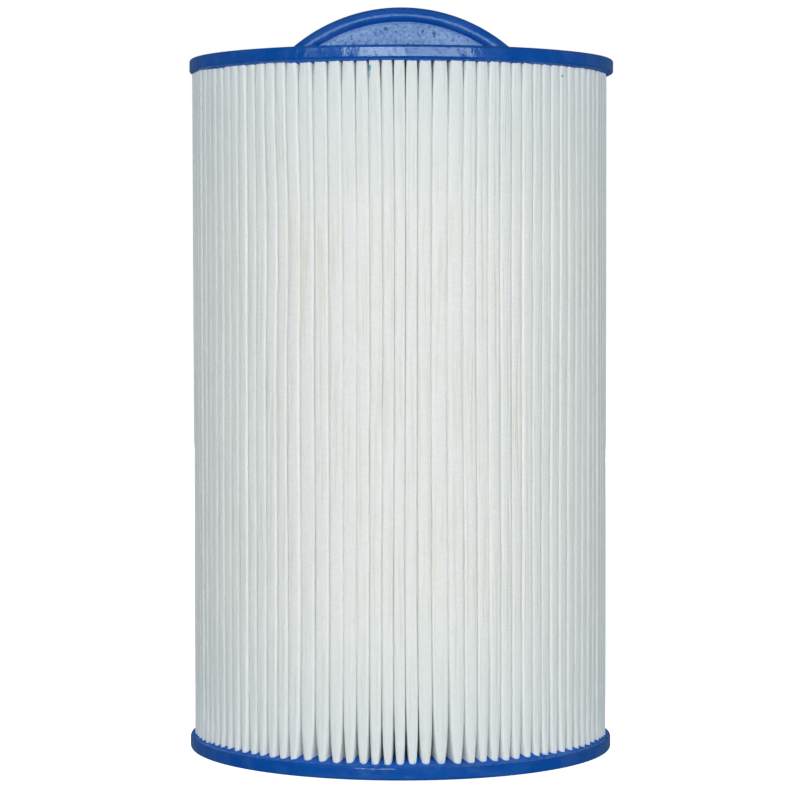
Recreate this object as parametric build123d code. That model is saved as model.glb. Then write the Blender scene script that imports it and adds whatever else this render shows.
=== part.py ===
from build123d import *
import math
import os

# Pleated spa filter cartridge: two cast end caps, a folded polyester pack and a slotted core.
# Units are millimetres. +Z is up, and the origin is the centre of the bottom cap's resting face.

# Driving dimensions: overall
CARTRIDGE_HEIGHT = 247.65  # resting face to the flat top of the upper cap
CAP_DIAMETER = 152.4
CAP_RIM_HEIGHT = 4.8
CAP_EDGE_RADIUS = 0.9

# Bottom outlet
BORE_DIAMETER = 53.98
BORE_LENGTH = 9.0  # resting face to the top of the collar inside the core
BORE_CHAMFER = 0.8
COLLAR_WALL = 0.51  # cast urethane between the bore and the core

# Handle on the top cap
HANDLE_RISE = 19.35  # above the flat of the cap
HANDLE_ARC_RADIUS = 60.5
HANDLE_BEAD_DIAMETER = 5.8
HANDLE_WEB_THICKNESS = 3.2
HANDLE_ROOT_SHARE = 0.3  # how much of the space between the flat and the potted sheet the root takes

# Slotted core
CORE_WALL = 2.5
SLOT_WIDTH = 7.0
SLOT_HEIGHT = 12.0
SLOT_ROW_PITCH = 17.0
SLOT_PAIRS_PER_ROW = 6
SLOT_END_MARGIN = 12.0  # solid tube beyond the last row, at each end

# Folded sheet
PLEAT_COUNT = 104
SHEET_THICKNESS = 0.6
PACK_INSET = 1.7  # from the cap's edge to the tips of the pleats
OUTER_FOLD_RADIUS = 1.25  # on the outer side of the sheet
INNER_FOLD_SLIT = 0.27  # left open between neighbouring folds at the core
CORE_TO_FOLD_CLEARANCE = 0.2
POTTING_DEPTH = 3.0  # how far the sheet and the core stand in each cap
SEAM_END_SETBACK = 0.4  # the sheet's cut ends stop this far short of the tips
SEAM_BEAD_DEPTH = 6.0

# Derived sizes
CAP_FLOOR = CAP_RIM_HEIGHT - POTTING_DEPTH
POTTED_HEIGHT = CARTRIDGE_HEIGHT - 2 * CAP_FLOOR
CORE_INNER_RADIUS = BORE_DIAMETER / 2 + COLLAR_WALL
CORE_RADIUS = CORE_INNER_RADIUS + CORE_WALL
PACK_RADIUS = CAP_DIAMETER / 2 - PACK_INSET
TOP_RIM_BOTTOM = CARTRIDGE_HEIGHT - CAP_RIM_HEIGHT
HALF_PITCH = math.pi / PLEAT_COUNT
OUTER_CENTRE_RADIUS = PACK_RADIUS - OUTER_FOLD_RADIUS
PACK_INNER_RADIUS = CORE_RADIUS + CORE_TO_FOLD_CLEARANCE
# Neighbouring inner folds stand on the core one slit apart, which sets their radius on the core side
FOLD_SPREAD = math.sin(HALF_PITCH)
INNER_FOLD_RADIUS = (PACK_INNER_RADIUS * FOLD_SPREAD - INNER_FOLD_SLIT / 2) / (1 - FOLD_SPREAD)
INNER_CENTRE_RADIUS = PACK_INNER_RADIUS + INNER_FOLD_RADIUS


def polar(radius, angle):
    """The point at a radius and an angle. Angle 0 is the seam, at the back of the cartridge."""
    return Vector(-radius * math.sin(angle), radius * math.cos(angle))


def wall_normal():
    """Unit normal of a pleat's wall, in the frame whose first axis runs out along the pleat.

    The wall is the crossed tangent of an outer and an inner fold, so its normal's share along the line
    between their centres is the sum of the two radii over the distance.
    """
    inner_x = INNER_CENTRE_RADIUS * math.cos(HALF_PITCH)
    inner_y = INNER_CENTRE_RADIUS * math.sin(HALF_PITCH)
    run_x = inner_x - OUTER_CENTRE_RADIUS
    distance = math.hypot(run_x, inner_y)
    radii = OUTER_FOLD_RADIUS + INNER_FOLD_RADIUS - SHEET_THICKNESS
    angle = math.atan2(inner_y, run_x) - math.acos(radii / distance)
    return math.cos(angle), math.sin(angle)


NORMAL_OUT, NORMAL_ACROSS = wall_normal()


def fold_point(pleat_angle, centre_radius, centre_angle, reach, side):
    """A point at a signed reach along a wall's normal from a fold's centre."""
    out = polar(1, pleat_angle)
    across = polar(1, pleat_angle + math.pi / 2)
    centre = polar(centre_radius, centre_angle)
    return centre + (out * NORMAL_OUT + across * (side * NORMAL_ACROSS)) * reach


def pleat_points(index, outer_reach, inner_reach):
    """The two walls of one pleat on one face of the sheet, as (root, tip) pairs, side -1 then +1."""
    angle = index * 2 * HALF_PITCH
    walls = []
    for side in (-1, 1):
        root_angle = angle + side * HALF_PITCH
        tip = fold_point(angle, OUTER_CENTRE_RADIUS, angle, outer_reach, side)
        root = fold_point(angle, INNER_CENTRE_RADIUS, root_angle, -inner_reach, side)
        walls.append((root, tip))
    return walls


def face_edges(outer_reach, inner_reach, seam_radius):
    """Edges of one face of the folded sheet, from its first cut end round to its last.

    The seam pleat has no outer fold: its two walls stop square at the seam radius.
    """
    seam_before, seam_after = pleat_points(0, outer_reach, inner_reach)
    end = seam_end(seam_after, seam_radius)
    edges = [Line(end, seam_after[0])]
    root = seam_after[0]
    for index in range(1, PLEAT_COUNT):
        before, after = pleat_points(index, outer_reach, inner_reach)
        angle = index * 2 * HALF_PITCH
        fold_foot = polar(INNER_CENTRE_RADIUS - inner_reach, angle - HALF_PITCH)
        edges.append(ThreePointArc(root, fold_foot, before[0]))
        edges.append(Line(before[0], before[1]))
        edges.append(ThreePointArc(before[1], polar(OUTER_CENTRE_RADIUS + outer_reach, angle), after[1]))
        edges.append(Line(after[1], after[0]))
        root = after[0]
    fold_foot = polar(INNER_CENTRE_RADIUS - inner_reach, -HALF_PITCH)
    edges.append(ThreePointArc(root, fold_foot, seam_before[0]))
    last = seam_end(seam_before, seam_radius)
    edges.append(Line(seam_before[0], last))
    return edges, end, last


def seam_end(wall, seam_radius):
    """Where a seam wall, carried on in a straight line, reaches the seam radius."""
    root, tip = wall
    share = (seam_radius - root.Y) / (tip.Y - root.Y)
    return root + (tip - root) * share


def sheet_profile():
    """Cross-section of the folded sheet: its outer face, two cut ends and its core face, as one loop."""
    seam_radius = PACK_RADIUS - SEAM_END_SETBACK
    inner_fold_inside = INNER_FOLD_RADIUS - SHEET_THICKNESS
    outer_fold_inside = OUTER_FOLD_RADIUS - SHEET_THICKNESS
    outer, outer_first, outer_last = face_edges(OUTER_FOLD_RADIUS, inner_fold_inside, seam_radius)
    inner, inner_first, inner_last = face_edges(outer_fold_inside, INNER_FOLD_RADIUS, seam_radius)
    ends = [Line(outer_first, inner_first), Line(outer_last, inner_last)]
    return make_face(Wire(outer + inner + ends).edges())


def potted_prism(profile):
    """A cross-section carried from one cap's potting floor to the other's."""
    return Pos(0, 0, CAP_FLOOR) * extrude(profile, POTTED_HEIGHT)


def make_core():
    """Tube with rows of straight slots, each cutter passing through both sides of the tube."""
    tube = Cylinder(CORE_RADIUS, POTTED_HEIGHT) - Cylinder(CORE_INNER_RADIUS, POTTED_HEIGHT)
    slotted_span = POTTED_HEIGHT - 2 * (POTTING_DEPTH + SLOT_END_MARGIN)
    rows = int((slotted_span - SLOT_HEIGHT) // SLOT_ROW_PITCH) + 1
    cutter = SlotOverall(SLOT_HEIGHT, SLOT_WIDTH)
    through = Rot(90, 0, 0) * extrude(Rot(0, 0, 90) * cutter, 2 * CORE_RADIUS, both=True)
    slots = []
    for row in range(rows):
        height = (row - (rows - 1) / 2) * SLOT_ROW_PITCH
        for pair in range(SLOT_PAIRS_PER_ROW):
            turn = 180 * pair / SLOT_PAIRS_PER_ROW
            slots.append(Pos(0, 0, height) * Rot(0, 0, turn) * through)
    return Pos(0, 0, CARTRIDGE_HEIGHT / 2) * (tube - slots)


def seam_gap_width(radius):
    """Width between the two seam walls' core faces at a distance from the axis."""
    before, after = pleat_points(0, OUTER_FOLD_RADIUS - SHEET_THICKNESS, INNER_FOLD_RADIUS)
    return abs(seam_end(after, radius).X - seam_end(before, radius).X)


def make_seam_bead():
    """Hot-melt strip between the two seam walls, flush with their cut ends and between the caps."""
    outer = PACK_RADIUS - SEAM_END_SETBACK
    inner = outer - SEAM_BEAD_DEPTH
    outer_half = seam_gap_width(outer) / 2
    inner_half = seam_gap_width(inner) / 2
    corners = [(-outer_half, outer), (outer_half, outer), (inner_half, inner), (-inner_half, inner)]
    section = make_face(Polyline(*corners, close=True).edges())
    return Pos(0, 0, CAP_RIM_HEIGHT) * extrude(section, CARTRIDGE_HEIGHT - 2 * CAP_RIM_HEIGHT)


def cap_disc():
    """A cap's disc, with its base at z = 0 and both rim edges rounded."""
    disc = Cylinder(CAP_DIAMETER / 2, CAP_RIM_HEIGHT, align=(Align.CENTER, Align.CENTER, Align.MIN))
    return fillet(disc.edges(), CAP_EDGE_RADIUS)


def make_handle():
    """Half-moon handle: a round bead bent to an arc, over a flat web, rooted in the upper cap."""
    bead_radius = HANDLE_BEAD_DIAMETER / 2
    arc_radius = HANDLE_ARC_RADIUS - bead_radius
    upright = Pos(0, 0, HANDLE_RISE - HANDLE_ARC_RADIUS) * Rot(90, 0, 0)
    bead = upright * Torus(arc_radius, bead_radius)
    web = upright * Cylinder(arc_radius, HANDLE_WEB_THICKNESS)
    root_depth = HANDLE_ROOT_SHARE * CAP_FLOOR
    room = 2 * HANDLE_ARC_RADIUS
    above = Pos(0, 0, -root_depth) * Box(room, room, room, align=(Align.CENTER, Align.CENTER, Align.MIN))
    return Pos(0, 0, CARTRIDGE_HEIGHT) * ((bead + web) & above)


def make_top_cap(potted, handle):
    """Disc cast onto the sheet and the core, with pockets where they and the handle's root stand in it."""
    return Pos(0, 0, TOP_RIM_BOTTOM) * cap_disc() - potted - handle


def make_bottom_cap(potted):
    """Disc with the outlet bore and the collar that lines the core's lower end."""
    collar_base = CAP_RIM_HEIGHT / 2
    low = (Align.CENTER, Align.CENTER, Align.MIN)
    collar = Pos(0, 0, collar_base) * Cylinder(CORE_INNER_RADIUS, BORE_LENGTH - collar_base, align=low)
    bore = Cylinder(BORE_DIAMETER / 2, BORE_LENGTH, align=low)
    mouth = Cone(BORE_DIAMETER / 2 + BORE_CHAMFER, BORE_DIAMETER / 2, BORE_CHAMFER, align=low)
    return cap_disc() + collar - bore - mouth - potted


profile = sheet_profile()
pleat_pack = potted_prism(profile)
core_tube = make_core()
potted = [pleat_pack, core_tube]
handle = make_handle()

parts = {
    "handle": handle,
    "top_cap": make_top_cap(potted, handle),
    "pleat_pack": pleat_pack,
    "core_tube": core_tube,
    "seam_bead": make_seam_bead(),
    "bottom_cap": make_bottom_cap(potted),
}

os.makedirs("parts", exist_ok=True)
for name, shape in parts.items():
    export_step(shape, f"parts/{name}.step")
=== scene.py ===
import math

import bpy
import numpy as np
from mathutils import Matrix, Vector


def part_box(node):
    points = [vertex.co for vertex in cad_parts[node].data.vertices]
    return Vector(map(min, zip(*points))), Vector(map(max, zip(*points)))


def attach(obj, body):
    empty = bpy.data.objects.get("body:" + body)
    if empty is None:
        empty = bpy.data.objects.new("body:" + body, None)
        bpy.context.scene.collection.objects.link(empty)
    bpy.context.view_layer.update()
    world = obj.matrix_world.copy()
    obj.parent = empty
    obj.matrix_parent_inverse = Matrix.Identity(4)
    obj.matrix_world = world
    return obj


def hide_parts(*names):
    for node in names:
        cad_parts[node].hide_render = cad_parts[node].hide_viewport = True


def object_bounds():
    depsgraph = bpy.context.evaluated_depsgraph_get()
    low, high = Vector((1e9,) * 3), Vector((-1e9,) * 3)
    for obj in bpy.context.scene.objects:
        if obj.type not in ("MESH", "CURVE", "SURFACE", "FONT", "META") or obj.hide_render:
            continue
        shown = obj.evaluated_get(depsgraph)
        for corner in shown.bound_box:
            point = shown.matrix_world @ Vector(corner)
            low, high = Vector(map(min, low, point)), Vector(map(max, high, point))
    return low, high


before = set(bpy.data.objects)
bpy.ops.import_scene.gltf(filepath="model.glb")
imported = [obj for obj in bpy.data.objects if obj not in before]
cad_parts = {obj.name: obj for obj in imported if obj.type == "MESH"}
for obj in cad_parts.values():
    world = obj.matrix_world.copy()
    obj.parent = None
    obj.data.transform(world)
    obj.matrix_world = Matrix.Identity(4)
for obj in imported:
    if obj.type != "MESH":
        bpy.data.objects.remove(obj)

cad_low, cad_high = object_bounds()
scene = bpy.context.scene
scene.view_settings.view_transform = "Standard"

# ---------------------------------------------------------------------------------------------------------
# Studio: a white floor under the cartridge, wide low softboxes in front, a strip to the left, and fills at
# the sides, behind and above. The white of the floor and the backdrop is for the camera and lights nothing.
# The camera stands a metre away, a little above the middle of the cartridge, and looks slightly down.

CAMERA_DISTANCE = 1.030
CAMERA_HEIGHT = 0.1707
CAMERA_ASIDE = -0.001
CAMERA_PITCH = 0.0422
CAMERA_YAW = 0.0011
CAMERA_ROLL = 0.001
CAMERA_LENS_MM = 129.65
CAMERA_SENSOR_MM = 36.0
CAMERA_REACH = (0.05, 60.0)
FLOOR_SIZE = 14.0
FLOOR_DROP = 0.0002
BACKDROP_GLOW = 1.0
FLOOR_GLOW = 0.93
ROOM_GLOW = (0.09, 0.145, 0.175)
PANEL_WHITE = (1.0, 0.975, 0.93)
PANELS = [
    # name, azimuth right of the front in degrees, height, distance, width, height of panel, radiance,
    # colour, and whether the object's gloss mirrors it
    ("softbox_left", -12.5, 0.30, 1.8, 0.80, 0.50, 11.7, PANEL_WHITE, True),
    ("softbox_right", 19.5, 0.30, 1.8, 1.12, 0.50, 7.4, PANEL_WHITE, True),
    ("side_strip", -45.5, 0.30, 1.8, 0.16, 0.50, 4.0, PANEL_WHITE, True),
    ("ceiling_panel", 0.0, 1.9, 0.5, 1.6, 1.0, 0.45, (1, 1, 1), True),
    ("left_fill", -115.0, 0.30, 1.8, 0.80, 0.60, 5.4, (1, 1, 1), False),
    ("right_fill", 115.0, 0.30, 1.8, 0.80, 0.60, 5.2, (1, 1, 1), False),
    ("back_softbox", 180.0, 0.45, 1.8, 0.80, 0.60, 9.0, PANEL_WHITE, False),
    ("back_ceiling", 180.0, 1.6, 1.3, 1.4, 0.9, 2.2, (1, 1, 1), False),
]


def make_camera():
    """The camera, turned first about its own line of sight, then down, then about the vertical."""
    data = bpy.data.cameras.new("camera")
    data.lens = CAMERA_LENS_MM
    data.sensor_width = CAMERA_SENSOR_MM
    data.clip_start, data.clip_end = CAMERA_REACH
    camera = bpy.data.objects.new("camera", data)
    scene.collection.objects.link(camera)
    turn = Matrix.Rotation(CAMERA_YAW, 4, "Z")
    nod = Matrix.Rotation(math.pi / 2 - CAMERA_PITCH, 4, "X")
    lean = Matrix.Rotation(CAMERA_ROLL, 4, "Z")
    place = Matrix.Translation((CAMERA_ASIDE, -CAMERA_DISTANCE, CAMERA_HEIGHT))
    camera.matrix_world = place @ turn @ nod @ lean
    scene.camera = camera


def make_panel(name, azimuth, height, distance, width, tall, radiance, colour, mirrored):
    """A softbox at an azimuth in degrees to the right of the front, facing the axis of the cartridge.

    Its power is its radiance times its area times pi. One that is not mirrored lights only what is matt.
    """
    data = bpy.data.lights.new(name, "AREA")
    data.shape = "RECTANGLE"
    data.size = width
    data.size_y = tall
    data.color = colour
    data.energy = radiance * width * tall * math.pi
    panel = bpy.data.objects.new(name, data)
    scene.collection.objects.link(panel)
    angle = math.radians(azimuth)
    spot = Vector((math.sin(angle) * distance, -math.cos(angle) * distance, height))
    aim = Vector((0, 0, cad_high.z / 2)) - spot
    panel.rotation_mode = "QUATERNION"
    panel.rotation_quaternion = aim.to_track_quat("-Z", "Y")
    panel.location = spot
    panel.visible_glossy = mirrored


make_camera()
for panel in PANELS:
    make_panel(*panel)


def make_world():
    """A white backdrop for the camera, and a dim bluish room for everything else."""
    world = bpy.data.worlds.new("studio")
    scene.world = world
    world.use_nodes = True
    tree = world.node_tree
    tree.nodes.clear()
    ray = tree.nodes.new("ShaderNodeLightPath")
    room = tree.nodes.new("ShaderNodeBackground")
    room.inputs["Color"].default_value = (*ROOM_GLOW, 1)
    backdrop = tree.nodes.new("ShaderNodeBackground")
    backdrop.inputs["Color"].default_value = (BACKDROP_GLOW,) * 3 + (1,)
    either = tree.nodes.new("ShaderNodeMixShader")
    sky = tree.nodes.new("ShaderNodeOutputWorld")
    tree.links.new(ray.outputs["Is Camera Ray"], either.inputs["Fac"])
    tree.links.new(room.outputs[0], either.inputs[1])
    tree.links.new(backdrop.outputs[0], either.inputs[2])
    tree.links.new(either.outputs[0], sky.inputs["Surface"])


make_world()


class Term:
    """A socket inside one material. Arithmetic on terms adds Math nodes to that material."""

    def __init__(self, recipe, socket):
        self.recipe = recipe
        self.socket = socket

    def math(self, operation, *others):
        values = {index: value for index, value in enumerate((self, *others))}
        return self.recipe.add("Math", values, operation=operation)

    def __add__(self, other):
        return self.math("ADD", other)

    def __sub__(self, other):
        return self.math("SUBTRACT", other)

    def __mul__(self, other):
        return self.math("MULTIPLY", other)

    def __pow__(self, other):
        return self.math("POWER", other)

    def __neg__(self):
        return self * -1

    def __rsub__(self, other):
        return -self + other

    __radd__ = __add__
    __rmul__ = __mul__

    def clamp(self):
        return self.math("MAXIMUM", 0).math("MINIMUM", 1)


class Recipe:
    """One material: its node tree, and one method that adds any node to it."""

    def __init__(self, name):
        self.material = bpy.data.materials.new(name)
        self.material.use_nodes = True
        self.tree = self.material.node_tree
        self.tree.nodes.clear()

    def add(self, kind, inputs=None, output=0, **settings):
        """A node of a kind, with its settings made first and its sockets then given values or terms."""
        node = self.tree.nodes.new("ShaderNode" + kind)
        for key, value in settings.items():
            setattr(node, key, value)
        for key, value in (inputs or {}).items():
            if isinstance(value, Term):
                self.tree.links.new(value.socket, node.inputs[key])
            else:
                node.inputs[key].default_value = value
        return Term(self, node.outputs[output]) if node.outputs else node

    def noise(self, where, scale, detail=3.0, roughness=0.5, distortion=0.0):
        values = {"Vector": where, "Scale": scale, "Detail": detail, "Roughness": roughness}
        return self.add("TexNoise", {**values, "Distortion": distortion})

    def mix(self, share, first, second):
        """A colour between two colours."""
        values = {"Factor": share, 6: first, 7: second}
        return self.add("Mix", values, output=2, data_type="RGBA")

    def scaled(self, where, scale):
        """A place stretched by a factor along each axis."""
        return self.add("VectorMath", {0: where, 1: scale}, operation="MULTIPLY")

    def band(self, value, low, high):
        """0 below low, 1 above high, and smooth between."""
        values = {"Value": value, "From Min": low, "From Max": high}
        return self.add("MapRange", values, interpolation_type="SMOOTHSTEP")

    def finish(self, **inputs):
        """The surface shader and the output, with the shader's sockets given by name."""
        named = {key.replace("_", " ").title().replace("Ior", "IOR"): value for key, value in inputs.items()}
        shader = self.add("BsdfPrincipled", named)
        self.add("OutputMaterial", {"Surface": shader})
        return self.material


def floor_material():
    """Matt white studio paper, with a faint unevenness of tone. From below, it is clear."""
    recipe = Recipe("studio_paper")
    place = recipe.add("TexCoord", output=3)
    tone = recipe.noise(place, 1.5)
    colour = recipe.mix(tone, (0.93, 0.93, 0.93, 1), (0.96, 0.96, 0.96, 1))
    upper = 1 - recipe.add("NewGeometry", output=6)
    glow = {"emission_color": (1, 1, 1, 1), "emission_strength": FLOOR_GLOW}
    return recipe.finish(base_color=colour, roughness=0.9, alpha=upper, **glow)


def make_floor():
    """A square sheet of paper, a hair below the resting face."""
    half = FLOOR_SIZE / 2
    mesh = bpy.data.meshes.new("floor")
    corners = [(x * half, y * half, -FLOOR_DROP) for x, y in ((-1, -1), (1, -1), (1, 1), (-1, 1))]
    mesh.from_pydata(corners, [], [(0, 1, 2, 3)])
    floor = bpy.data.objects.new("floor", mesh)
    scene.collection.objects.link(floor)
    mesh.materials.append(floor_material())
    floor.visible_glossy = False
    floor.visible_diffuse = False


make_floor()

# ---------------------------------------------------------------------------------------------------------
# Cast urethane: both end caps and the handle are poured in open moulds from a glossy blue polyurethane.
# The skin takes the mould's slight waviness and keeps pinholes and pits where bubbles reached it.

URETHANE_BLUE = (0.0003, 0.080, 0.405, 1)
URETHANE_DEEP = (0.0002, 0.058, 0.315, 1)
# Lighter blue of the potting: partly its thin layer over the white sheet, partly painted light bounced from
# the white pleats
URETHANE_THIN_AND_BOUNCE_LIT = (0.0010, 0.150, 0.72, 1)
# Pale dust; on the handle's web it also stands for a painted reflection of the front softboxes
URETHANE_DUST_AND_SHEEN = (0.22, 0.37, 0.67, 1)
# Darker blue of the pits: painted shade in their hollows; on the web it also colours the darker specks
URETHANE_PIT = (0.0005, 0.030, 0.16, 1)
HANDLE_ARC_RADIUS = 0.0605
HANDLE_BEAD = 0.0058
WEB_BLEND = 0.0006
PIT_NOISE_SHARE = 0.37
HANDLE_PITS = [
    # across, height and radius of each larger pit
    (0.0079, 0.2583, 0.0007),
    (0.0118, 0.2572, 0.0009),
    (-0.0150, 0.2612, 0.0005),
]


def urethane_material(name, pit_scale, pit_size, wave_share, polish, tint=URETHANE_BLUE, web_centre=None):
    """Blue urethane. Pits are the middles of a scattered pattern of cells, so each is a small round dip,
    darkened with painted shade.

    The handle's web, below its bead, was cast against a rough mould face: it is speckled and pitted, and
    pale partly from dust and partly from a painted reflection of the front softboxes.
    """
    recipe = Recipe(name)
    place = recipe.add("TexCoord", output=3)
    cloud = recipe.noise(place, 60.0, 4.0)
    wave = recipe.noise(place, 190.0, 2.0)
    grain = recipe.noise(place, 1400.0, 3.0)
    cells = recipe.add("TexVoronoi", {"Vector": place, "Scale": pit_scale, "Randomness": 1.0})
    some = recipe.band(recipe.noise(place, pit_scale * PIT_NOISE_SHARE, 1.0), 0.50, 0.62)
    pit = (1 - recipe.band(cells, pit_size * 0.4, pit_size)) * some
    smear = recipe.band(recipe.noise(recipe.scaled(place, (0.4, 1.0, 1.0)), 130.0, 4.0, 0.6, 0.6), 0.42, 0.68)
    dust_and_sheen = smear * 0.06
    if web_centre is not None:
        offset = recipe.add("VectorMath", {0: place, 1: (0, 0, web_centre)}, operation="SUBTRACT")
        upright = recipe.scaled(offset, (1, 0, 1))
        far = recipe.add("VectorMath", {0: upright}, output=1, operation="LENGTH")
        web_edge = HANDLE_ARC_RADIUS - HANDLE_BEAD
        web = 1 - recipe.band(far, web_edge - WEB_BLEND, web_edge)
        speckle = recipe.band(recipe.noise(place, 1000.0, 3.0, 0.6), 0.38, 0.62)
        # On the web the pale, mottled layer is partly dust and partly a painted reflection of the front
        # softboxes.
        dust_and_sheen = dust_and_sheen + web * (speckle * 0.55 + smear * 0.25 + 0.24)
        specks = recipe.band(recipe.noise(place, 700.0, 4.0, 0.75), 0.57, 0.66)
        pit = (pit + specks * 0.7) * web
        for across, high, size in HANDLE_PITS:
            spot = recipe.add("VectorMath", {0: place, 1: (across, 0, high)}, operation="SUBTRACT")
            flat_spot = recipe.scaled(spot, (1, 0, 1))
            reach = recipe.add("VectorMath", {0: flat_spot}, output=1, operation="LENGTH")
            pit = pit + (1 - recipe.band(reach + (speckle - 0.5) * size * 0.7, size * 0.5, size))
        pit = pit.clamp()
    blue = recipe.mix(cloud, URETHANE_DEEP, tint)
    colour = recipe.mix(pit * 0.9, recipe.mix(dust_and_sheen, blue, URETHANE_DUST_AND_SHEEN), URETHANE_PIT)
    ripple = recipe.noise(recipe.scaled(place, (1.0, 1.0, 0.5)), 330.0, 2.0, 0.5)
    height = wave * wave_share + ripple * 0.75 + grain * 0.10 - pit * 0.3
    bump = recipe.add("Bump", {"Height": height, "Strength": 0.75, "Distance": 0.0005})
    rough = cloud * 0.10 + dust_and_sheen * 0.25 + polish
    sheen = {"specular_ior_level": 0.48, "specular_tint": (0.74, 0.95, 1.0, 1)}
    return recipe.finish(base_color=colour, roughness=rough, normal=bump, **sheen)


def dress(node, material):
    """Gives a piece of the shared frame its material."""
    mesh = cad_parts[node].data
    mesh.materials.clear()
    mesh.materials.append(material)


urethane = urethane_material("cast_urethane", 260.0, 0.10, 0.75, 0.13)
dress("top_cap", urethane)
dress("bottom_cap", urethane)
handle_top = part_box("handle")[1].z
arc_centre = handle_top - HANDLE_ARC_RADIUS
handle_urethane = urethane_material("cast_urethane_handle", 330.0, 0.30, 0.7, 0.26, web_centre=arc_centre)
dress("handle", handle_urethane)

# ---------------------------------------------------------------------------------------------------------
# Core: a slotted tube of white moulded plastic that stands in both caps and carries the folded sheet.
# The mould leaves it slightly rough, and it has gone a little cream.


def core_material():
    """White plastic with faint flow marks up the tube and the fine grain of the mould."""
    recipe = Recipe("core_plastic")
    place = recipe.add("TexCoord", output=3)
    cloud = recipe.noise(place, 45.0, 3.0)
    grain = recipe.noise(place, 1800.0, 3.0)
    flow = recipe.noise(recipe.scaled(place, (1.0, 1.0, 0.15)), 160.0, 2.0)
    colour = recipe.mix((cloud + flow) * 0.5, (0.76, 0.76, 0.72, 1), (0.86, 0.86, 0.84, 1))
    bump = recipe.add("Bump", {"Height": grain * 0.4 + flow * 0.6, "Strength": 0.3, "Distance": 0.0002})
    return recipe.finish(base_color=colour, roughness=cloud * 0.15 + 0.36, normal=bump)


dress("core_tube", core_material())

# ---------------------------------------------------------------------------------------------------------
# Folded sheet: one length of white spunbond polyester, folded into deep pleats that stand on the core.
# Each pleat is pinched at the caps and bellied between them. The tips are spaced and lean unevenly.

PLEATS = 104
SHEET_THICKNESS = 0.0006
TIP_FOLD_RADIUS = 0.0008
ROOT_FOLD_RADIUS = 0.0005
WALL_GAP = 0.00005  # between two pleats that lean on each other
BULGE = 0.00032  # how far a pinched pleat swells below its tip
BULGE_DEPTH = 0.007
BELLY_AT_TOP = 0.58  # how far the walls go towards their neighbours, as a share of the room there is
BELLY_AT_BOTTOM = 0.04
BELLY = 0.985
BELLY_RISE_TOP = 0.0065
BELLY_RISE_BOTTOM = 0.008
FACE_SLOPE = 0.60  # the slope and the edge's height of a bellied tip, as shares of the tip fold's radius
FACE_STAND = 0.76
SEAM_HALF_GAP = 0.00095
SEAM_SETBACK = 0.0004  # the cut ends stop this far short of the tips
LEAN_ASIDE = -0.0007  # how far the tips stand aside at the top
RIM_HEIGHT = 0.0048
RIM_EDGE = 0.0009

sheet_low, sheet_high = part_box("pleat_pack")
core_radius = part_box("core_tube")[1].x
foot_clearance = 0.0002
rim_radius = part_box("bottom_cap")[1].x - RIM_EDGE
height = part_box("top_cap")[0].z + RIM_HEIGHT
tip_radius = sheet_high.x
root_radius = core_radius + foot_clearance
tip_centre = tip_radius - SHEET_THICKNESS / 2 - TIP_FOLD_RADIUS
root_centre = root_radius + SHEET_THICKNESS / 2 + ROOT_FOLD_RADIUS
SEED = 11
random = np.random.default_rng(SEED)


def hump(value, centre, width):
    """A bell curve of height one."""
    return np.exp(-((value - centre) / width) ** 2)


def tip_angles():
    """The angle of every tip, counted from the seam at the back.

    The gaps between tips vary smoothly round the pack, with a little of each pleat's own, and are opened
    in two places and closed up between them. Their running sum, scaled to a full turn, gives the angles.
    """
    middle = (np.arange(PLEATS) + 0.5) / PLEATS * 360
    front = middle - 180
    gaps = 1 + 0.06 * np.sin(np.radians(middle * 9 + 40)) * np.abs(front) / 180
    gaps += 0.34 * hump(front, -22.5, 5.0) + 0.34 * hump(front, 11.5, 3.2) - 0.05 * hump(front, -4, 6)
    gaps += random.normal(0, 0.04, PLEATS)
    edges = np.concatenate([[0], np.cumsum(gaps)])
    return edges[:-1] / edges[-1] * 2 * np.pi


even_angles = np.arange(PLEATS) / PLEATS * 2 * np.pi
tips = tip_angles()
OWN_LEAN_DEGREES = 0.14
OWN_REACH = (0.00006, 0.00014)
own_lean = random.normal(0, OWN_LEAN_DEGREES, PLEATS)
own_reach = random.normal(*OWN_REACH, PLEATS)


def bow(angle, level):
    """How far the tips lean round the axis, in radians, at each angle and each level from 0 to 1.

    It is nothing at the caps and at the seam. The pleats at the left front lean most, and the ones on
    either side of the front close up towards it below the top.
    """
    turn = np.degrees(angle)
    arch = np.sin(np.pi * level)
    double = np.sin(2 * np.pi * level)
    degrees = 0.30 * np.sin(3 * angle + 0.6) * arch + 0.22 * np.sin(7 * angle + 2.0) * double
    degrees += 0.16 * np.sin(13 * angle + 4.0) * arch
    degrees += 1.1 * hump(turn, 180 - 33, 9) * hump(level, 0.74, 0.12)
    degrees += 0.9 * (hump(turn, 172, 6) - hump(turn, 186, 6)) * arch ** 0.5
    quiet = 1 - hump(turn, 0, 8) - hump(turn, 360, 8)
    return np.radians(degrees) * quiet


def tip_share(radius):
    """0 at the foot of a pleat and 1 at its tip."""
    return np.clip((radius - root_centre) / (tip_centre - root_centre), 0, 1.05)


def pinched_half_width(depth):
    """Half the width of a pleat at a cap, to the middle of its sheet, at a depth below its tip fold.

    A straight taper from the tip fold to the root fold, plus a bulge that rises quickly and dies away.
    """
    deep = depth / (tip_centre - root_centre)
    root_half = root_centre * math.sin(math.pi / PLEATS) - ROOT_FOLD_RADIUS
    straight = TIP_FOLD_RADIUS + (root_half - TIP_FOLD_RADIUS) * deep
    share = depth / BULGE_DEPTH
    return straight + BULGE * share * np.exp(1 - share)


def seam_half_width(depth):
    """The same for the seam pleat, whose walls run straight."""
    deep = depth / (tip_centre - root_centre)
    root_half = root_centre * math.sin(math.pi / PLEATS) - ROOT_FOLD_RADIUS
    return SEAM_HALF_GAP + (root_half - SEAM_HALF_GAP) * deep


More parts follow.
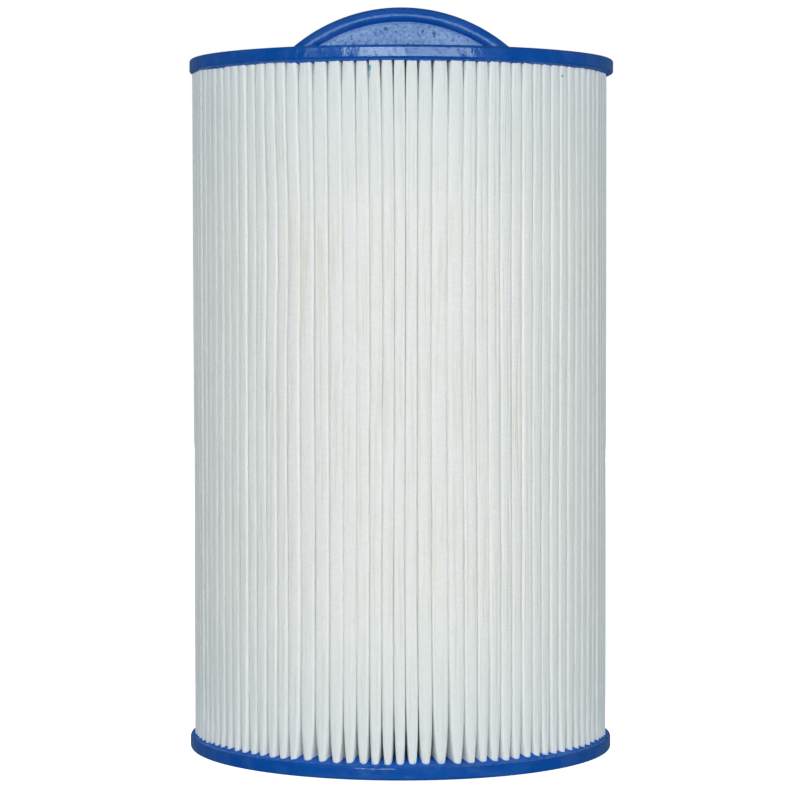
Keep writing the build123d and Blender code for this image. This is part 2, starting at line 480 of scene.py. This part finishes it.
def belly(level):
    """How far the walls belly out towards their neighbours: most between the caps, and least at the lower.

    From each cap it rises as 1 - exp(-distance / rise).
    """
    over_bottom = np.clip(level * height - RIM_HEIGHT, 0, None)
    under_top = np.clip((1 - level) * height - RIM_HEIGHT, 0, None)
    pinch = (BELLY - BELLY_AT_BOTTOM) * np.exp(-over_bottom / BELLY_RISE_BOTTOM)
    return BELLY - pinch - (BELLY - BELLY_AT_TOP) * np.exp(-under_top / BELLY_RISE_TOP)


def pleat_middles(radius, level):
    """The angles of the middles of all pleats, pleats by radii.

    They are even at the feet, and at the tips they are where the tips stand and lean.
    """
    lean = bow(tips, level) + np.radians(own_lean) * np.sin(np.pi * level)
    lean[0] = 0
    offset = tips - even_angles + lean
    return even_angles[:, None] + offset[:, None] * tip_share(radius) ** 1.4


def pleat_walls(radius, level):
    """The angles of both walls of all pleats, at the middle of the sheet, and of the middles between them.

    A wall stands at the pinched half width, and goes a share of the way from there towards the line midway
    to the next pleat. It never comes nearer to that line than half a gap. Beside the seam's narrow pleat,
    the line lies along that pleat's own wall.
    """
    depth = tip_centre - radius
    middle = pleat_middles(radius, level)
    ahead = np.roll(middle, -1, 0)
    ahead[-1] += 2 * np.pi
    room = (ahead - middle) / 2 * radius - (SHEET_THICKNESS + WALL_GAP) / 2
    room[[0, -1]] = 2 * room[[0, -1]] - seam_half_width(depth)
    pinched = pinched_half_width(depth)
    fill = belly(level)
    after = np.minimum(pinched + np.clip(room - pinched, 0, None) * fill, room)
    room = np.roll(room, 1, 0)
    before = np.minimum(pinched + np.clip(room - pinched, 0, None) * fill, room)
    before[0] = seam_half_width(depth)
    after[0] = before[0]
    return middle - before / radius, middle, middle + after / radius


def placed(radius, angle, level, reach=0.0, hold=1.0):
    """Points at a radius, an angle and a level. The tips stand a little to the left at the top."""
    share = tip_share(radius) * hold
    out = radius + reach * share
    aside = LEAN_ASIDE * level * share
    return np.stack([-out * np.sin(angle) + aside, out * np.cos(angle), level * height + 0 * angle], -1)


wall_depths = np.array([0.0009, 0.0028, 0.0070, 0.0140, 0.0250, tip_centre - root_centre])
tip_stations = np.array([-1.0, -0.90, -0.64, 0.0, 0.64, 0.90, 1.0])


def tip_shape(level):
    """The tip folds of all pleats at one level: radii and angles of the sheet's middle, pleats by stations.

    At the caps a fold is half a circle. Between them it is a broad flat face, as wide as the pleat, whose
    height over the fold's centre is stand + (1 - stand) * (1 - s^4)^(1/2) at each share s of the half
    width. It slopes down towards the front, so that its far edge stands proud.
    """
    before, middle, after = pleat_walls(np.array([tip_centre]), level)
    flat = belly(level)
    width = np.where(tip_stations < 0, middle - before, after - middle)
    circle = np.sqrt(1 - tip_stations ** 2)
    face = np.sqrt(1 - tip_stations ** 4)
    towards_front = np.clip(-3 * np.sin(tips), -1, 1)[:, None]
    slope = 1 - FACE_SLOPE * (1 + towards_front * tip_stations) / 2 * np.abs(towards_front)
    rise = circle * (1 - flat) + (FACE_STAND + (1 - FACE_STAND) * face * slope) * flat
    return tip_centre + TIP_FOLD_RADIUS * rise, middle + width * tip_stations


def pleat_lines(level):
    """The middle lines of the sheet in all pleats but the seam's, pleats by points by 3.

    Each runs through the foot fold, one wall out, the tip fold, the other wall in, and half of the next
    foot fold.
    """
    turns = np.radians([90, 45])
    foot = root_centre - ROOT_FOLD_RADIUS * np.sin(turns)
    from_foot = math.pi / PLEATS - ROOT_FOLD_RADIUS * np.cos(turns) / foot
    reach = own_reach[:, None]
    foot_before = placed(foot, even_angles[:, None] - from_foot, level)
    foot_after = placed(foot[1:], even_angles[:, None] + from_foot[1:], level)
    radius = tip_centre - wall_depths
    before, _, after = pleat_walls(radius, level)
    wall_before = placed(radius, before, level, reach)[:, ::-1]
    wall_after = placed(radius, after, level, reach)
    tip = placed(*tip_shape(level), level, reach)
    return np.concatenate([foot_before, wall_before, tip, wall_after, foot_after], 1)[1:]


def seam_lines(level):
    """The first and last walls of the sheet, which stop at the seam: the first runs in and the last out."""
    half = math.pi / PLEATS
    depths = np.concatenate([[SEAM_SETBACK - TIP_FOLD_RADIUS - SHEET_THICKNESS / 2, 0.0], wall_depths])
    radius = tip_centre - depths
    width = seam_half_width(depths) / radius
    first = placed(radius, width, level)
    last = placed(radius, -width, level)[::-1]
    turns = np.radians([45, 90])
    foot = root_centre - ROOT_FOLD_RADIUS * np.sin(turns)
    aside = ROOT_FOLD_RADIUS * np.cos(turns) / foot
    first_foot = placed(foot[:1], half - aside[:1], level)
    last_foot = placed(foot[::-1], -half + aside[::-1], level)
    return np.concatenate([first, first_foot]), np.concatenate([last_foot, last])


def sheet_line(level):
    """The whole sheet's middle line at one level."""
    first, last = seam_lines(level)
    return np.concatenate([first, pleat_lines(level).reshape(-1, 3), last])


def shell(name, front, back, wrap=False, uv=None, values=None):
    """A closed body between two grids of points, rows by columns by 3, of which each becomes one face.

    Strips along the open borders join the faces. With wrap, the last column joins the first. The body is
    turned inside out if its volume comes out negative, so that its faces point outwards.
    """
    rows, columns = front.shape[:2]
    points = np.concatenate([front.reshape(-1, 3), back.reshape(-1, 3)])
    index = np.arange(rows * columns).reshape(rows, columns)
    if wrap:
        index = np.concatenate([index, index[:, :1]], 1)
    far = index + rows * columns
    quads = np.stack([index[:-1, :-1], index[:-1, 1:], index[1:, 1:], index[1:, :-1]], -1).reshape(-1, 4)
    behind = np.stack([far[:-1, :-1], far[1:, :-1], far[1:, 1:], far[:-1, 1:]], -1).reshape(-1, 4)
    rims = [
        np.stack([index[0, 1:], index[0, :-1], far[0, :-1], far[0, 1:]], -1),
        np.stack([index[-1, :-1], index[-1, 1:], far[-1, 1:], far[-1, :-1]], -1),
    ]
    if not wrap:
        rims.append(np.stack([index[:-1, 0], index[1:, 0], far[1:, 0], far[:-1, 0]], -1))
        rims.append(np.stack([index[1:, -1], index[:-1, -1], far[:-1, -1], far[1:, -1]], -1))
    faces = np.concatenate([quads, behind, *rims])
    a, b, c, d = (points[faces[:, corner]] for corner in range(4))
    volume = np.einsum("ij,ij->", a, np.cross(b, c)) + np.einsum("ij,ij->", a, np.cross(c, d))
    if volume < 0:
        faces = faces[:, ::-1]
    mesh = bpy.data.meshes.new(name)
    mesh.vertices.add(len(points))
    mesh.vertices.foreach_set("co", points.ravel())
    mesh.loops.add(faces.size)
    mesh.loops.foreach_set("vertex_index", faces.ravel())
    mesh.polygons.add(len(faces))
    mesh.polygons.foreach_set("loop_start", np.arange(len(faces)) * 4)
    mesh.update(calc_edges=True)
    mesh.polygons.foreach_set("use_smooth", np.ones(len(faces), bool))
    if uv is not None:
        both = np.concatenate([uv.reshape(-1, 2), uv.reshape(-1, 2)])
        layer = mesh.uv_layers.new(name="cloth")
        layer.data.foreach_set("uv", both[faces.ravel()].ravel())
    for key, value in (values or {}).items():
        attribute = mesh.attributes.new(key, "FLOAT", "POINT")
        attribute.data.foreach_set("value", np.concatenate([value.ravel(), value.ravel()]))
    mesh.validate()
    piece = bpy.data.objects.new(name, mesh)
    scene.collection.objects.link(piece)
    return piece


def sheet_levels():
    """Levels from the sheet's lower end to its upper, close together near the caps."""
    ends = np.array([0.0, 0.0030, 0.0045, 0.0065, 0.010, 0.016])
    span = sheet_high.z - sheet_low.z
    middle = np.linspace(0.026, span - 0.026, 9)
    heights = np.concatenate([ends, middle, span - ends[::-1]])
    return (heights + sheet_low.z) / height


def make_sheet():
    """The sheet's two faces, half a thickness to each side of its middle line, and the line's length."""
    levels = sheet_levels()
    middle = np.stack([sheet_line(level) for level in levels])
    step = np.gradient(middle, axis=1)
    normal = np.stack([-step[..., 1], step[..., 0], 0 * step[..., 0]], -1)
    normal /= np.linalg.norm(normal, axis=-1, keepdims=True)
    half = normal * SHEET_THICKNESS / 2
    run = np.linalg.norm(np.diff(middle[0], axis=0), axis=-1)
    along = np.concatenate([[0], np.cumsum(run)])
    uv = np.stack(np.meshgrid(along, levels * height), -1)
    out = np.hypot(middle[..., 0], middle[..., 1])
    depth = np.clip((tip_radius - out) / (tip_radius - root_radius), 0, 1)
    piece = shell("pleated_sheet", middle - half, middle + half, uv=uv, values={"depth": depth})
    return piece, along[-1]


STAINS = [
    # azimuth right of the front in degrees, height, half width, half height, strength
    (-8.3, 0.2386, 0.00035, 0.0023, 0.55),
    (-8.2, 0.2400, 0.00055, 0.0010, 0.8),
    (48.0, 0.2390, 0.0005, 0.0005, 0.9),
]


def stain_share(recipe, place, azimuth, stain_height, wide, tall, strength):
    """1 inside an oval on the front of the pack, and 0 outside it, with a ragged edge."""
    turn = math.radians(azimuth)
    centre = (math.sin(turn) * tip_radius, -math.cos(turn) * tip_radius, stain_height)
    offset = recipe.add("VectorMath", {0: place, 1: centre}, operation="SUBTRACT")
    oval = recipe.scaled(offset, (1 / wide, 0.3 / wide, 1 / tall))
    far = recipe.add("VectorMath", {0: oval}, output=1, operation="LENGTH")
    ragged = far + (recipe.noise(place, 1500.0) - 0.5) * 0.8
    return (1 - recipe.band(ragged, 0.55, 1.25)) * strength


def sheet_material():
    """White spunbond polyester that light soaks through.

    Random fibres and small dimples, faint clouds of tone, fine creases along the folds darkened with painted
    shade, a lighter and warmer tint deep between the pleats that is painted light, a bluish band above the
    lower cap that is painted reflected light, painted shade towards both caps, and three splashes of the
    urethane.
    """
    recipe = Recipe("spunbond_polyester")
    cloth = recipe.add("UVMap", uv_map="cloth")
    place = recipe.add("TexCoord", output=3)
    depth = recipe.add("Attribute", output=2, attribute_name="depth")
    fibre = recipe.noise(cloth, 1500.0, 4.0, 0.7, 1.5)
    blotch = recipe.noise(recipe.scaled(cloth, (1.0, 0.5, 1.0)), 420.0, 3.0, 0.6)
    cloud = recipe.noise(cloth, 60.0, 2.0)
    # Creases: darker, yellower streaks along the folds, painted shade in the creases; they also dip the bump.
    shaded_crease = recipe.band(recipe.noise(recipe.scaled(cloth, (1.0, 0.012, 1.0)), 1700.0, 2.0), 0.52, 0.66)
    tone = (blotch * 0.35 + cloud * 0.2 + recipe.band(fibre, 0.38, 0.62) * 0.45).clamp()
    white = recipe.mix(tone, (0.86, 0.865, 0.825, 1), (0.985, 0.98, 0.955, 1))
    crease_shaded = recipe.mix(shaded_crease * 0.55, white, (0.79, 0.81, 0.70, 1))
    # Deep between the pleats the colour is lighter and warmer: painted light, standing in for light bounced
    # between the pleats.
    groove_light = recipe.band(depth, 0.02, 0.30)
    groove_lit = recipe.mix(groove_light * 0.8, crease_shaded, (0.975, 0.975, 0.90, 1))
    level = recipe.add("SeparateXYZ", {0: place}, output=2)
    # A blue band just above the lower cap's rim: painted reflected light from the blue urethane.
    blue_bounce_edge = 1 - recipe.band(level + (blotch - 0.5) * 0.003, RIM_HEIGHT, RIM_HEIGHT + 0.0016)
    # Greyer and bluer towards both caps: painted shade, where the caps' overhang keeps light off the sheet.
    away = ((level - height / 2) ** 2) ** 0.5
    end_shaded = recipe.mix(recipe.band(away, 0.050, 0.122) * 0.75, groove_lit, (0.78, 0.83, 0.86, 1))
    colour = recipe.mix(blue_bounce_edge * 0.45, end_shaded, (0.30, 0.52, 0.86, 1))
    for stain in STAINS:
        colour = recipe.mix(stain_share(recipe, place, *stain), colour, (0.05, 0.42, 0.52, 1))
    weave = fibre * 0.5 + blotch * 0.5 - shaded_crease * 0.3
    bump = recipe.add("Bump", {"Height": weave, "Strength": 0.8, "Distance": 0.0006})
    soak = {"subsurface_weight": 1.0, "subsurface_radius": (1.0, 1.0, 0.93), "subsurface_scale": 0.0008}
    return recipe.finish(base_color=colour, roughness=0.9, normal=bump, **soak)


pleated_sheet, sheet_length = make_sheet()
pleated_sheet.data.materials.append(sheet_material())
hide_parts("pleat_pack")
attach(pleated_sheet, "root")

# ---------------------------------------------------------------------------------------------------------
# Potting: the urethane that the ends of the sheet were lowered into while it was liquid. It stands level
# with the rim outside the pleats, and climbs a little way up them and further in the gaps between them.

POTTING_LEVEL = 0.00012
POTTING_BODY = 0.0010
POTTING_CLIMB = 0.00055
POTTING_CLIMB_REACH = 0.00040
# By which cap it is: 1 for the lower and -1 for the upper
GAP_CLIMB = {1: 0.0024, -1: 0.0007}
GAP_CLIMB_REACH = 0.0032
EDGE_DIP = 0.00020
LEAST_TIP_SHARE = 0.03

# The potting is lighter than the caps: partly its thin layer, partly painted light standing in for light
# bounced from the white pleats.
potting_urethane = urethane_material("potting_urethane", 260.0, 0.10, 0.5, 0.45, URETHANE_THIN_AND_BOUNCE_LIT)
potting_radii = np.concatenate([
    [core_radius + 0.00005, 0.0312, 0.034, 0.040, 0.048, 0.056, 0.062, 0.066, 0.069, 0.071, 0.0724, 0.0732],
    tip_centre + np.array([0.0, 0.0004, 0.00065, 0.0008, 0.00095, 0.0012]),
    [rim_radius],
])
gap_shares = np.array([0.0, 0.22, 0.5, 0.78, 1.0])


def make_potting(name, level, up):
    """The surface of the potting at a level, radii by columns: up is 1 at the lower cap and -1 at the upper.

    The columns of each pleat are its middle, its wall, three lines in the gap, and the next pleat's wall.
    The height over the rim is the level, plus climb * exp(-distance to the nearest wall or tip / reach),
    plus the gap's own climb * (1 - exp(-depth below the tips / reach)), where the urethane was drawn up
    between the pleats, less a dip that grows from the tips to the edge.
    """
    radius = potting_radii
    walls = np.minimum(radius, tip_centre)
    before, middle, after = pleat_walls(walls, level)
    shift = SHEET_THICKNESS / 2 / radius
    beyond = np.clip(radius - tip_centre, 0, None)
    full = TIP_FOLD_RADIUS + SHEET_THICKNESS / 2
    rounded = np.sqrt(np.clip(1 - (beyond / full) ** 2, LEAST_TIP_SHARE, None))
    after = middle + (after - middle + shift) * rounded
    before = middle - (middle - before + shift) * rounded
    following = np.roll(before, -1, 0)
    following[-1] += 2 * np.pi
    gap = following - after
    lines = after[:, None, :] + gap[:, None, :] * gap_shares[:, None]
    angle = np.concatenate([middle[:, None, :], lines], 1)
    own = np.minimum(gap_shares, 1 - gap_shares)[:, None]
    across = gap[:, None, :] * own * radius
    ahead = np.clip(radius - tip_radius, 0, None)
    climb = POTTING_CLIMB * np.exp(-np.hypot(across, ahead) / POTTING_CLIMB_REACH)
    patchy = 0.75 + 0.25 * np.sin(5 * angle + 1) * np.sin(17 * angle)
    patchy = patchy + random.uniform(-0.2, 0.2, (PLEATS, 1, 1))
    climb = np.concatenate([climb[:, :1], climb], 1) * patchy
    swell = 0.00006 * np.sin(3 * angle) + 0.00005 * np.sin(11 * angle + radius * 200)
    to_edge = np.clip((radius - tip_radius) / (rim_radius - tip_radius), 0, 1)
    drawn = GAP_CLIMB[up] * (1 - np.exp(-np.clip(tip_radius - radius, 0, None) / GAP_CLIMB_REACH))
    rise = POTTING_LEVEL + climb + swell * (1 - to_edge) - EDGE_DIP * to_edge + drawn * patchy
    reach_before = own_reach[:, None, None]
    reach_after = np.roll(own_reach, -1)[:, None, None]
    share = np.concatenate([[0.0], gap_shares])[:, None]
    reach = reach_before * (1 - share) + reach_after * share
    hold = np.clip((rim_radius - radius) / (rim_radius - tip_radius), 0, 1)
    points = placed(radius, angle, level, reach, hold)
    points = points.reshape(-1, len(radius), 3).transpose(1, 0, 2)
    rise = rise.reshape(-1, len(radius)).T
    face = points + np.stack([0 * rise, 0 * rise, up * rise], -1)
    back = points - np.array([0, 0, up * POTTING_BODY])
    piece = shell(name, face, back, wrap=True)
    piece.data.materials.append(potting_urethane)
    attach(piece, "root")
    return piece


make_potting("bottom_potting", RIM_HEIGHT / height, 1)
make_potting("top_potting", 1 - RIM_HEIGHT / height, -1)

# ---------------------------------------------------------------------------------------------------------
# Seam bead: hot-melt glue run between the sheet's two cut ends, which closes the pack into a ring. It sets
# cream and slightly wavy, and stands proud of the ends where more was laid.

bead_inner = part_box("seam_bead")[0].y
bead_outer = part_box("seam_bead")[1].y
bead_shares = np.array([0.0, 0.15, 0.5, 0.85, 0.95, 1.0])
bead_widths = np.array([0.35, 0.85, 1.0, 1.0, 0.80, 0.30])


def make_bead():
    """Two sides, heights by shares of the depth. The half width is the gap's, rounded off at both edges.

    The outer edge stands proud by a mean and two sines of the height.
    """
    levels = np.linspace(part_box("seam_bead")[0].z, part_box("seam_bead")[1].z, 90)[:, None]
    proud = 0.00018 + 0.00014 * np.sin(levels * 190) + 0.00010 * np.sin(levels * 431 + 2)
    out = bead_inner + (bead_outer - bead_inner + proud) * bead_shares
    half = (seam_half_width(tip_centre - out) - SHEET_THICKNESS / 2) * bead_widths
    left = placed(out, half / out, levels / height)
    right = placed(out, -half / out, levels / height)
    return shell("hot_melt_bead", left, right)


def bead_material():
    """Hot-melt glue: cream and waxy, with trapped bubbles and a soft sheen."""
    recipe = Recipe("hot_melt")
    place = recipe.add("TexCoord", output=3)
    cloud = recipe.noise(place, 300.0, 3.0)
    bubbles = recipe.add("TexVoronoi", {"Vector": place, "Scale": 900.0})
    bubble = 1 - recipe.band(bubbles, 0.10, 0.25)
    colour = recipe.mix(cloud, (0.72, 0.66, 0.50, 1), (0.84, 0.80, 0.68, 1))
    bump = recipe.add("Bump", {"Height": cloud + bubble * 0.5, "Strength": 0.4, "Distance": 0.0003})
    soak = {"subsurface_weight": 0.4, "subsurface_radius": (1.0, 0.8, 0.5), "subsurface_scale": 0.001}
    return recipe.finish(base_color=colour, roughness=cloud * 0.2 + 0.25, normal=bump, **soak)


bead = make_bead()
bead.data.materials.append(bead_material())
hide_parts("seam_bead")
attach(bead, "root")
